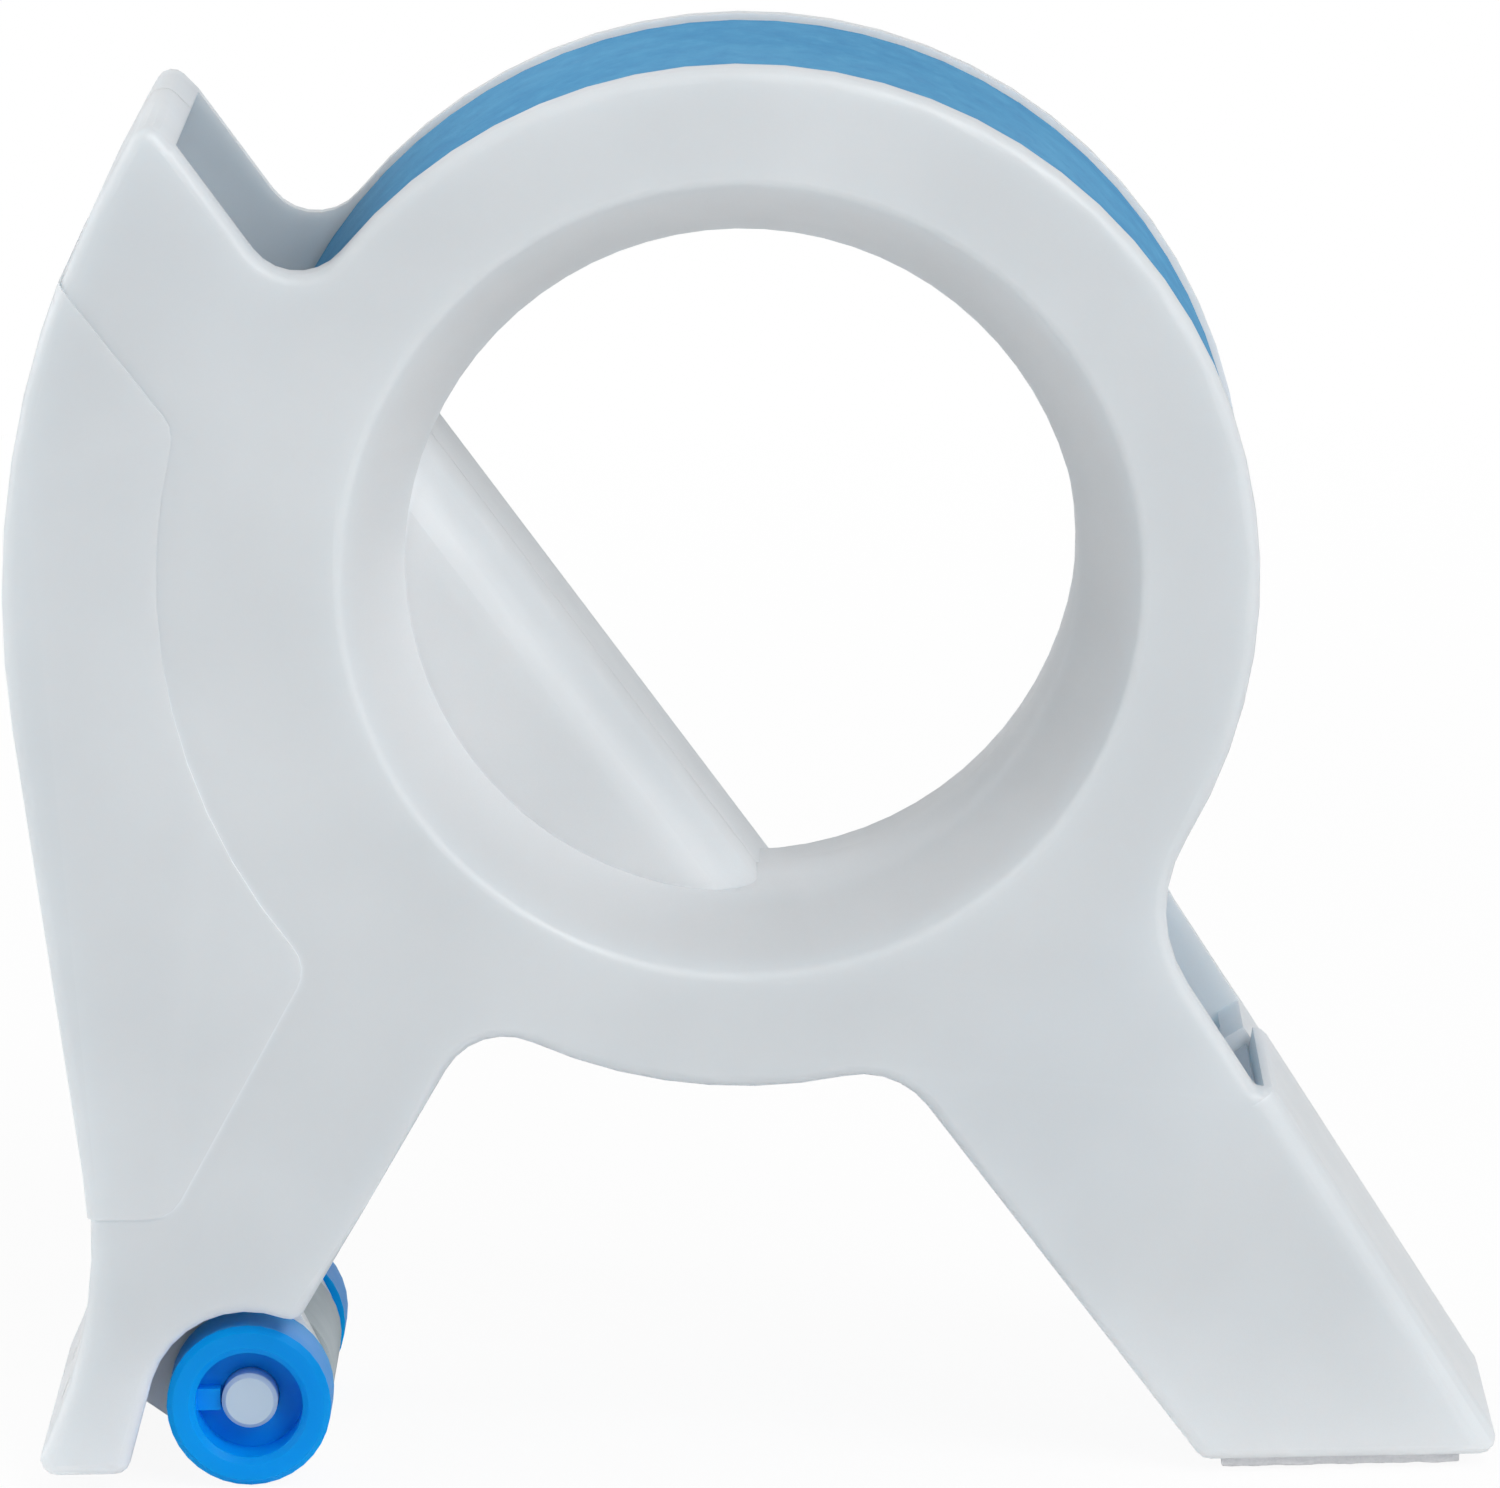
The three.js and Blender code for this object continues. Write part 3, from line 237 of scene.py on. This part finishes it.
class Material(Nodes):
    """The nodes of one new material and its shader."""

    def __init__(self, name):
        self.material = bpy.data.materials.new(name)
        self.material.use_nodes = True
        super().__init__(self.material.node_tree)
        self.shader = self.tree.nodes["Principled BSDF"]

    def paint(self, **values):
        """Sets the shader's inputs, each named as on the shader with underscores for spaces."""
        for name, value in values.items():
            self.feed(self.shader.inputs[name.replace("_", " ")], value)
        return self.material


def paint_light_in_hollows(n, colour, where, painted_lift):
    """The colour, lightened in hollows as painted light, up to the given factor, but not in the
    grip's tip.
    """
    hollow = n.add("ShaderNodeAmbientOcclusion", samples=6)
    n.feed(hollow.inputs["Distance"], HOLLOW_REACH)
    most = n.spread(n.reach(where, TIP_WAY), TIP_START, TIP_END, painted_lift)
    lifted = n.add("ShaderNodeVectorMath", operation="SCALE")
    n.feed(lifted.inputs[0], colour)
    n.feed(lifted.inputs["Scale"], n.spread(hollow.outputs["AO"], HOLLOW_SHUT, HOLLOW_OPEN, most))
    return lifted.outputs[0]


def moulded(name, dark, light, roughness, grain=0.10, gloss=0.5, glow=0.0, painted_lift=1.0):
    """Moulded plastic: fine texture off the tool, slow flow shading, a painted highlight on its
    edges and, where the last argument is over 1, painted light that keeps its hollows light."""
    n = Material(name)
    where = n.place()
    cloud = n.noise(where, scale=38, detail=2)
    grain_height = n.noise(where, scale=2600, detail=2, roughness=0.6)
    ripple = n.noise(where, scale=160, detail=2)
    body = n.mix(n.vary(cloud), dark, light)
    # Pointy edges get a painted highlight: their colour is made brighter
    edge = n.add("ShaderNodeNewGeometry").outputs["Pointiness"]
    edge_highlight = n.spread(edge, low=0.52, high=0.62, to_high=0.35)
    lighter = tuple(min(1, v * EDGE_HIGHLIGHT) for v in light[:3]) + (1,)
    colour = n.mix(edge_highlight, body, lighter)
    # Painted light: the colour in hollows is lightened, standing in for light that reaches them
    if painted_lift > 1:
        colour = paint_light_in_hollows(n, colour, where, painted_lift)
    ripples = n.bump(ripple, strength=0.05, distance=0.0004)
    return n.paint(
        Base_Color=colour,
        Roughness=n.vary(ripple, roughness - 0.05, roughness + 0.06),
        Normal=n.bump(grain_height, strength=grain, distance=0.00006, before=ripples),
        Specular_IOR_Level=gloss,
        Subsurface_Weight=glow,
        Subsurface_Radius=GLOW_RADIUS,
        Subsurface_Scale=GLOW_SCALE,
    )


def from_axis(n):
    """The place as x and z from the roll's axis, and y, which runs across the roll."""
    split = n.add("ShaderNodeSeparateXYZ")
    n.feed(split.inputs[0], n.place())
    x = n.math("SUBTRACT", split.outputs["X"], ROLL_AXIS[0])
    z = n.math("SUBTRACT", split.outputs["Z"], ROLL_AXIS[1])
    return x, split.outputs["Y"], z


def crepe_tape():
    """Masking tape: crinkled paper outside on the roll and its stacked edges at the sides."""
    n = Material("crepe_tape")
    x, across, z = from_axis(n)
    angle = n.math("ARCTAN2", x, z)
    radius = n.math("SQRT", n.math("ADD", n.math("MULTIPLY", x, x), n.math("MULTIPLY", z, z)))
    unrolled = n.add("ShaderNodeCombineXYZ")
    n.feed(unrolled.inputs[0], n.math("MULTIPLY", angle, ROLL_RADIUS))
    n.feed(unrolled.inputs[1], across)
    paper = unrolled.outputs[0]
    crinkle = n.noise(paper, scale=900, detail=4, roughness=0.6, stretch=(1, 0.38, 1))
    mottle = n.noise(paper, scale=260, detail=3, roughness=0.6, stretch=(1, 0.7, 1))
    patch = n.noise(paper, scale=45, detail=2)
    fine = n.mix(n.vary(mottle, span=0.16), linear(50, 136, 188), linear(96, 166, 208))
    broad = n.mix(n.vary(patch), linear(56, 140, 190), linear(88, 160, 204))
    outside = n.mix(n.vary(crinkle, 0.2, 0.7), fine, broad)
    stacked = n.add("ShaderNodeCombineXYZ")
    n.feed(stacked.inputs[0], radius)
    n.feed(stacked.inputs[1], n.math("MULTIPLY", angle, LAYER_SHIFT))
    layers = n.noise(stacked.outputs[0], scale=5200, detail=2, roughness=0.6)
    sides = n.mix(n.vary(layers), linear(52, 116, 162), linear(88, 152, 196))
    facing = n.add("ShaderNodeSeparateXYZ")
    n.feed(facing.inputs[0], n.add("ShaderNodeNewGeometry").outputs["True Normal"])
    at_side = n.spread(n.math("ABSOLUTE", facing.outputs["Y"]), low=0.6, high=0.8)
    height = n.mix(at_side, crinkle, layers, kind="FLOAT")
    return n.paint(
        Base_Color=n.mix(at_side, outside, sides),
        Normal=n.bump(height, strength=0.45, distance=0.00025),
        Roughness=n.vary(mottle, 0.62, 0.8),
        Specular_IOR_Level=0.18,
    )


def wool_felt():
    """Pressed felt: short crossed fibres and a soft sheen."""
    n = Material("wool_felt")
    where = n.place()
    along = n.noise(where, scale=1500, detail=4, roughness=0.7, stretch=(0.25, 1, 1))
    across = n.noise(where, scale=1500, detail=4, roughness=0.7, stretch=(1, 0.25, 1))
    fibres = n.math("MULTIPLY", n.math("ADD", along, across), 0.5)
    return n.paint(
        Base_Color=n.mix(n.vary(fibres, span=0.12), linear(236, 237, 240), linear(252, 252, 254)),
        Normal=n.bump(fibres, strength=0.8, distance=0.0004),
        Roughness=n.vary(along, 0.88, 1),
        Sheen_Weight=0.35,
        Sheen_Roughness=0.5,
    )


def wound_card():
    """Spiral-wound card: seams that climb round the tube and short paper fibres."""
    n = Material("wound_card")
    x, across, z = from_axis(n)
    turns = n.math("DIVIDE", n.math("ARCTAN2", x, z), math.tau)
    climb = n.math("ADD", n.math("MULTIPLY", across, 1 / CARD_PITCH), turns)
    off_seam = n.spread(n.math("PINGPONG", climb, 0.5), low=0, high=SEAM_REACH)
    fibres = n.noise(n.place(), scale=1800, detail=4, roughness=0.65, stretch=(1, 0.3, 1))
    card = n.mix(n.vary(fibres), linear(186, 176, 160), linear(214, 206, 192))
    grooves = n.bump(off_seam, strength=0.4, distance=0.0002)
    return n.paint(
        Base_Color=n.mix(off_seam, linear(150, 140, 124), card),
        Normal=n.bump(fibres, strength=0.3, distance=0.0001, before=grooves),
        Roughness=n.vary(fibres, 0.82, 0.95),
    )


def ground_rubber():
    """The laying sleeve: dull rubber with a fine ground finish round it."""
    n = Material("ground_rubber")
    where = n.place()
    ground = n.noise(where, scale=900, roughness=0.6, stretch=(0.2, 2.6, 0.2))
    dust = n.noise(where, scale=150)
    return n.paint(
        Base_Color=n.mix(n.vary(dust), linear(170, 179, 182), linear(192, 199, 201)),
        Normal=n.bump(ground, strength=0.35, distance=0.0002),
        Roughness=n.vary(dust, 0.6, 0.74),
    )


def sheet_steel(name, tone, stretch):
    """Steel with the lines that rolling or turning leaves, running one way."""
    n = Material(name)
    where = n.place()
    lines = n.noise(where, scale=1400, detail=4, roughness=0.65, stretch=stretch)
    smear = n.noise(where, scale=90, detail=2)
    dull = linear(*(v - STEEL_SMEAR for v in tone))
    return n.paint(
        Base_Color=n.mix(n.vary(smear), dull, linear(*tone)),
        Metallic=1,
        Roughness=n.vary(lines, 0.24, 0.42),
        Normal=n.bump(lines, strength=0.12, distance=0.00008),
    )


def smoothing():
    """A node group that joins the facets of one solid and keeps its sharp edges."""
    group = bpy.data.node_groups.new("smooth_facets", "GeometryNodeTree")
    for way in ("INPUT", "OUTPUT"):
        group.interface.new_socket("Geometry", in_out=way, socket_type="NodeSocketGeometry")
    n = Nodes(group)
    start = n.add("NodeGroupInput")
    end = n.add("NodeGroupOutput")
    weld = n.add("GeometryNodeMergeByDistance")
    n.feed(weld.inputs["Geometry"], start.outputs[0])
    n.feed(weld.inputs["Distance"], WELD_DISTANCE)
    faces = n.add("GeometryNodeSetShadeSmooth", domain="FACE")
    n.feed(faces.inputs["Geometry"], weld.outputs[0])
    n.feed(faces.inputs["Shade Smooth"], True)
    angle = n.add("GeometryNodeInputMeshEdgeAngle")
    flat = n.add("FunctionNodeCompare", data_type="FLOAT", operation="LESS_THAN")
    n.feed(flat.inputs["A"], angle.outputs["Unsigned Angle"])
    n.feed(flat.inputs["B"], math.radians(SMOOTH_ANGLE))
    edges = n.add("GeometryNodeSetShadeSmooth", domain="EDGE")
    n.feed(edges.inputs["Geometry"], faces.outputs[0])
    n.feed(edges.inputs["Shade Smooth"], flat.outputs[0])
    n.feed(end.inputs[0], edges.outputs[0])
    return group


def smooth_nodes():
    group = smoothing()
    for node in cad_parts.values():
        modifier = node.modifiers.new("smooth_facets", "NODES")
        modifier.node_group = group
        weight = node.modifiers.new("weighted", "WEIGHTED_NORMAL")
        weight.keep_sharp = True


def lamp(name, place, power):
    data = bpy.data.lights.new(name, "AREA")
    data.shape = "SQUARE"
    data.size = LAMP_SIZE
    data.energy = power
    light = bpy.data.objects.new(name, data)
    light.location = place
    light.rotation_euler = (AIM - Vector(place)).to_track_quat("-Z", "Y").to_euler()
    scene.collection.objects.link(light)


def light_scene():
    """Lamps in a studio tent. The tent lights the object from above and behind, and to the camera
    and in reflections it is white all round."""
    for name, (place, power) in LAMPS.items():
        lamp(name, place, power)
    world = bpy.data.worlds.new("studio")
    scene.world = world
    world.use_nodes = True
    n = Nodes(world.node_tree)
    path = n.add("ShaderNodeLightPath")
    seen = n.math("MAXIMUM", path.outputs["Is Camera Ray"], path.outputs["Is Glossy Ray"])
    way = n.add("ShaderNodeTexCoord").outputs["Generated"]
    tent = n.spread(n.reach(way, TENT_UP), TENT_DARK, TENT_FULL, to_high=TENT_LEVEL)
    back = n.tree.nodes["Background"]
    n.feed(back.inputs["Strength"], n.spread(seen, low=0, high=1, to_low=tent))
    n.feed(back.inputs["Color"], WHITE)


def lay_floor():
    mesh = bpy.data.meshes.new("floor")
    sides = ((-1, -1), (1, -1), (1, 1), (-1, 1))
    corners = [(x * FLOOR_REACH, y * FLOOR_REACH, FLOOR_LEVEL) for x, y in sides]
    mesh.from_pydata(corners, [], [(0, 1, 2, 3)])
    floor = bpy.data.objects.new("floor", mesh)
    scene.collection.objects.link(floor)
    n = Material("floor_paper")
    n.paint(Base_Color=linear(244, 244, 244), Roughness=0.9)
    glow = n.add("ShaderNodeEmission")
    n.feed(glow.inputs["Color"], WHITE)
    away = n.add("ShaderNodeVectorMath", operation="LENGTH")
    n.feed(away.inputs[0], n.place())
    white = n.spread(away.outputs["Value"], FLOOR_NEAR, FLOOR_FAR, FLOOR_WHITE)
    path = n.add("ShaderNodeLightPath")
    mix = n.add("ShaderNodeMixShader")
    n.feed(mix.inputs[0], n.math("MULTIPLY", path.outputs["Is Camera Ray"], white))
    n.feed(mix.inputs[1], n.shader.outputs[0])
    n.feed(mix.inputs[2], glow.outputs[0])
    n.feed(n.tree.nodes["Material Output"].inputs["Surface"], mix.outputs[0])
    mesh.materials.append(n.material)


def stations(low, high):
    """Places along one side of a pad, closer together where its edges round off."""
    near = [low + FELT_ROUNDING * share for share in (0, 0.25, 0.6)]
    flat = high - low - 2 * FELT_ROUNDING
    count = max(2, round(flat / FELT_STEP))
    middle = [low + FELT_ROUNDING + flat * i / count for i in range(count + 1)]
    return near + middle + [low + high - v for v in reversed(near)]


def felt_grid(low, high):
    """The outside of a box as a grid of faces."""
    rows = [stations(a, b) for a, b in zip(low, high)]
    counts = [len(row) for row in rows]
    grid = bmesh.new()
    corners = {}
    for i in range(counts[0]):
        for j in range(counts[1]):
            for k in range(counts[2]):
                if any(at in (0, count - 1) for at, count in zip((i, j, k), counts)):
                    corners[i, j, k] = grid.verts.new((rows[0][i], rows[1][j], rows[2][k]))
    for i, j, k in corners:
        for a, b in (((1, 0, 0), (0, 1, 0)), ((0, 1, 0), (0, 0, 1)), ((0, 0, 1), (1, 0, 0))):
            ring = [(0, 0, 0), a, tuple(u + v for u, v in zip(a, b)), b]
            face = [corners.get((i + u, j + v, k + w)) for u, v, w in ring]
            across = 3 - a.index(1) - b.index(1)
            if all(face) and (i, j, k)[across] in (0, counts[across] - 1):
                grid.faces.new(face)
    return grid


def felt_pad(name, body, material):
    """A cut felt pad: rounded edges, and sides that the loose fibres leave a little uneven."""
    low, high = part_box(name)
    grid = felt_grid(low, high)
    core = [(a + FELT_ROUNDING, b - FELT_ROUNDING) for a, b in zip(low, high)]
    for vert in grid.verts:
        inner = Vector(min(max(v, a), b) for v, (a, b) in zip(vert.co, core))
        out = vert.co - inner
        if out.length > 0:
            broad = noise.noise(inner * FELT_BROAD)
            fine = noise.noise(inner * FELT_FINE)
            loose = min(1, max(0, 0.5 + 0.5 * broad + 0.4 * fine))
            vert.co = inner + out.normalized() * FELT_ROUNDING * (1 - FELT_LOOSE * loose)
    bmesh.ops.recalc_face_normals(grid, faces=grid.faces)
    mesh = bpy.data.meshes.new(name + "_felt")
    grid.to_mesh(mesh)
    grid.free()
    for face in mesh.polygons:
        face.use_smooth = True
    pad = bpy.data.objects.new(name + "_felt", mesh)
    scene.collection.objects.link(pad)
    mesh.materials.append(material)
    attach(pad, body)
    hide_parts(name)


def dress(names, material):
    for name in names:
        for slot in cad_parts[name].material_slots:
            slot.material = material


def dress_plastic():
    light_grey = linear(214, 219, 223)
    # The grey and the blue plastic get painted light in their hollows: the last value given to
    # each
    grey = moulded("moulded_grey", linear(206, 211, 215), light_grey, 0.42, glow=0.6, painted_lift=1.3)
    dress(["front_shell", "rear_shell", "roller_bracket", "blade_clamp"], grey)
    cups = {"grain": 0.05, "gloss": 0.1, "glow": 0.4, "painted_lift": 1.4}
    blue = moulded("moulded_blue", linear(0, 130, 208), linear(2, 140, 219), 0.34, **cups)
    dress(["front_collar", "rear_collar"], blue)
    light_white = linear(188, 205, 219)
    white = moulded("moulded_white", linear(178, 197, 213), light_white, 0.4, 0.05, gloss=0.3)
    dress(["roller_axle"], white)
    light_cream = linear(234, 233, 229)
    cream = moulded("moulded_cream", linear(226, 225, 220), light_cream, 0.38, grain=0.05)
    dress(["roller_core", "front_axle_bush", "rear_axle_bush"], cream)


def dress_roll():
    dress(["tape_roll"], crepe_tape())
    dress(["tape_core"], wound_card())


def lay_felt():
    felt = wool_felt()
    pads = {"front_felt_pad": "chassis", "rear_felt_pad": "cover", "drag_pad": "chassis"}
    for name, body in pads.items():
        felt_pad(name, body, felt)


def dress_steel():
    dress(["cutter_blade"], sheet_steel("blade_steel", (196, 199, 203), (1, 0.08, 1)))
    dress(["drag_spring"], sheet_steel("spring_steel", (186, 188, 190), (1, 0.15, 1)))
    screws = ["upper_bracket_screw", "lower_bracket_screw"]
    rivets = ["front_blade_rivet", "rear_blade_rivet"]
    dress(screws + rivets, sheet_steel("fastener_steel", (190, 190, 188), (1, 1, 1)))


aim_camera()
light_scene()
lay_floor()
smooth_nodes()
dress_plastic()
dress_roll()
dress(["roller_sleeve"], ground_rubber())
lay_felt()
dress_steel()
